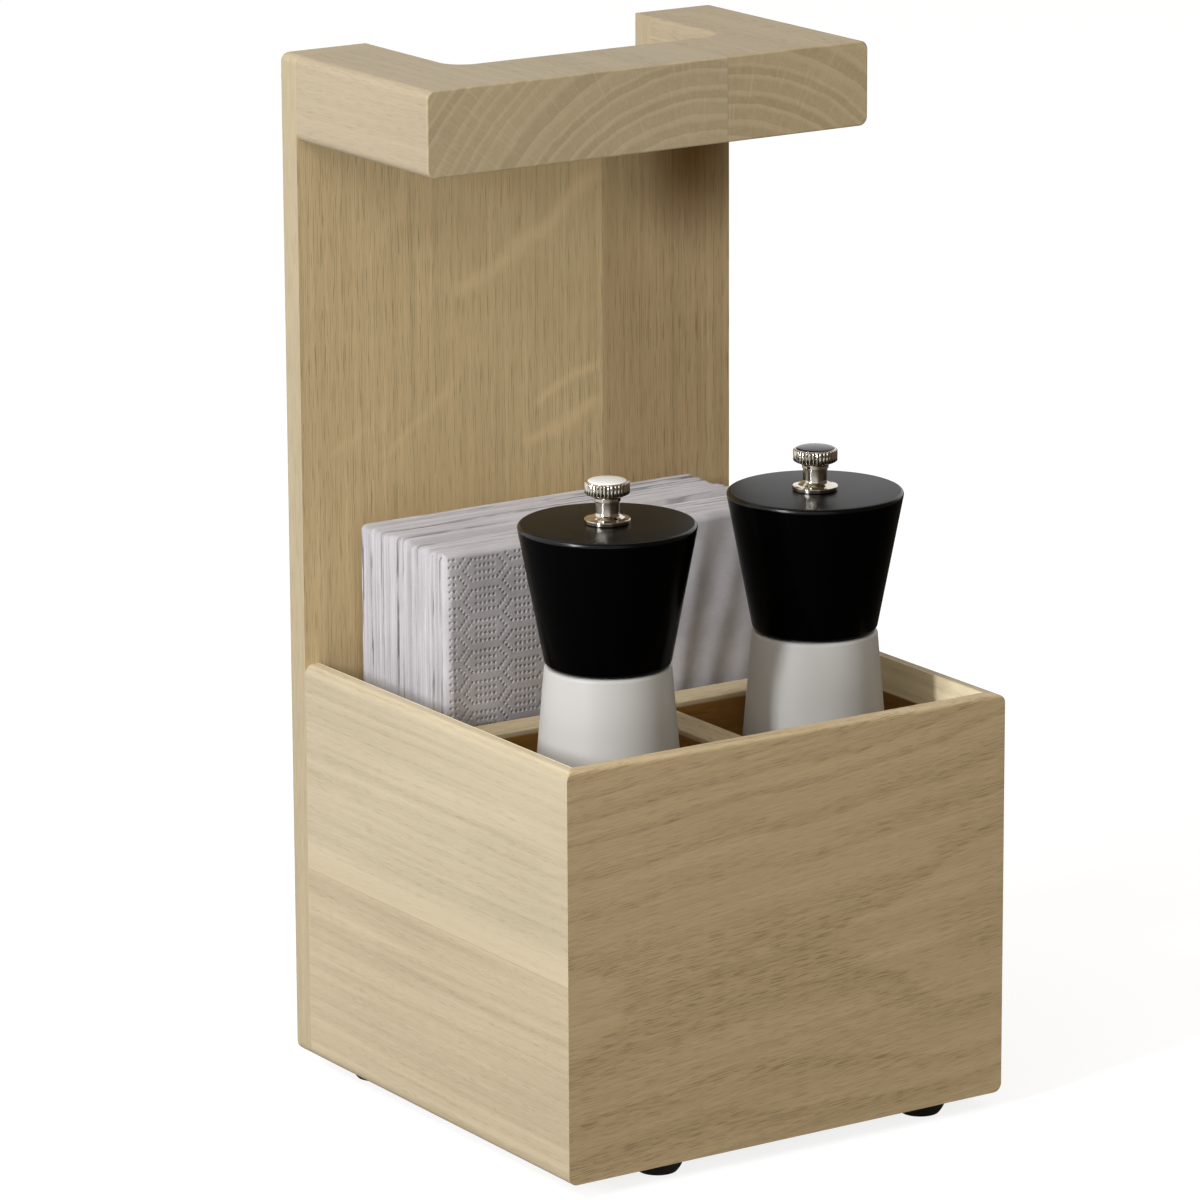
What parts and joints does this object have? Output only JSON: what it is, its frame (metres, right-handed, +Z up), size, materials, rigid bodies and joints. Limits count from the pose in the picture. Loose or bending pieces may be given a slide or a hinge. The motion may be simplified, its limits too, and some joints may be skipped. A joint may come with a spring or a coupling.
{
  "type": "table caddy",
  "caption": "Oak table caddy with a handle block on a tall back board, cells that hold grinder mills, a napkin bay and a side drawer.",
  "frame": {"origin": "middle of the footprint, on the plane the rubber feet stand on", "axes": "+Z up, -Y towards the front, +X towards the drawer's front, right as seen from the front"},
  "size_m": [0.16, 0.16, 0.3255],
  "materials": {
    "oak": "oiled",
    "rubber": "matte",
    "steel": "satin",
    "bright_metal": "polished",
    "burr": "matte",
    "black_lacquer": "satin lacquer",
    "grey_lacquer": "satin lacquer",
    "white_enamel": "gloss",
    "black_enamel": "gloss",
    "paper": "matte"
  },
  "bodies": {
    "caddy": {"back_board": "oak", "handle_block": "oak", "handle_dowels": "oak", "front_panel": "oak", "left_side": "oak", "right_side": "oak", "corner_splines": "oak", "foot_front_left": "rubber", "foot_front_right": "rubber", "foot_rear_left": "rubber", "foot_rear_right": "rubber", "foot_screws": "steel", "bottom_board": "oak", "floor_board": "oak", "napkin_divider": "oak", "cell_divider": "oak", "drawer_stop": "oak"},
    "drawer": {"drawer_front": "oak", "drawer_side_near": "oak", "drawer_side_far": "oak", "drawer_back": "oak", "drawer_bottom": "oak"},
    "napkins": {"napkin_stack": "paper"},
    "left_mill": {"left_mill_body": "grey_lacquer", "left_mill_bridge": "steel", "left_mill_burr_ring": "burr", "left_mill_retaining_plate": "steel", "left_mill_plate_screws": "steel"},
    "left_rotor": {"left_mill_spindle": "steel", "left_mill_burr_cone": "burr", "left_mill_spring": "steel"},
    "left_head": {"left_mill_head": "black_lacquer", "left_mill_drive_plate": "steel"},
    "left_nut": {"left_mill_thumb_nut": "bright_metal", "left_mill_cap_disc": "white_enamel"},
    "right_mill": {"right_mill_body": "grey_lacquer", "right_mill_bridge": "steel", "right_mill_burr_ring": "burr", "right_mill_retaining_plate": "steel", "right_mill_plate_screws": "steel"},
    "right_rotor": {"right_mill_spindle": "steel", "right_mill_burr_cone": "burr", "right_mill_spring": "steel"},
    "right_head": {"right_mill_head": "black_lacquer", "right_mill_drive_plate": "steel"},
    "right_nut": {"right_mill_thumb_nut": "bright_metal", "right_mill_cap_disc": "black_enamel"}
  },
  "joints": [
    {"name": "drawer_slide", "type": "slide", "parent": "caddy", "child": "drawer", "axis": [1, 0, 0], "range_m": [0, 0.0915]},
    {"name": "napkin_lift", "type": "slide", "parent": "caddy", "child": "napkins", "axis": [0, 0, 1], "range_m": [0, 0.085]},
    {"name": "left_mill_lift", "type": "slide", "parent": "caddy", "child": "left_mill", "axis": [0, 0, 1], "range_m": [0, 0.085]},
    {"name": "left_head_turn", "type": "hinge", "parent": "left_mill", "child": "left_rotor", "pos_m": [-0.038, -0.0382, 0.0528], "axis": [0, 0, 1], "continuous": true},
    {"name": "left_head_lift", "type": "slide", "parent": "left_rotor", "child": "left_head", "axis": [0, 0, 1], "range_m": [0, 0.04]},
    {"name": "left_nut_turn", "type": "hinge", "parent": "left_head", "child": "left_nut", "pos_m": [-0.038, -0.0382, 0.1952], "axis": [0, 0, 1], "continuous": true},
    {"name": "right_mill_lift", "type": "slide", "parent": "caddy", "child": "right_mill", "axis": [0, 0, 1], "range_m": [0, 0.085]},
    {"name": "right_head_turn", "type": "hinge", "parent": "right_mill", "child": "right_rotor", "pos_m": [0.038, -0.0382, 0.0528], "axis": [0, 0, 1], "continuous": true},
    {"name": "right_head_lift", "type": "slide", "parent": "right_rotor", "child": "right_head", "axis": [0, 0, 1], "range_m": [0, 0.04]},
    {"name": "right_nut_turn", "type": "hinge", "parent": "right_head", "child": "right_nut", "pos_m": [0.038, -0.0382, 0.1952], "axis": [0, 0, 1], "continuous": true}
  ]
}
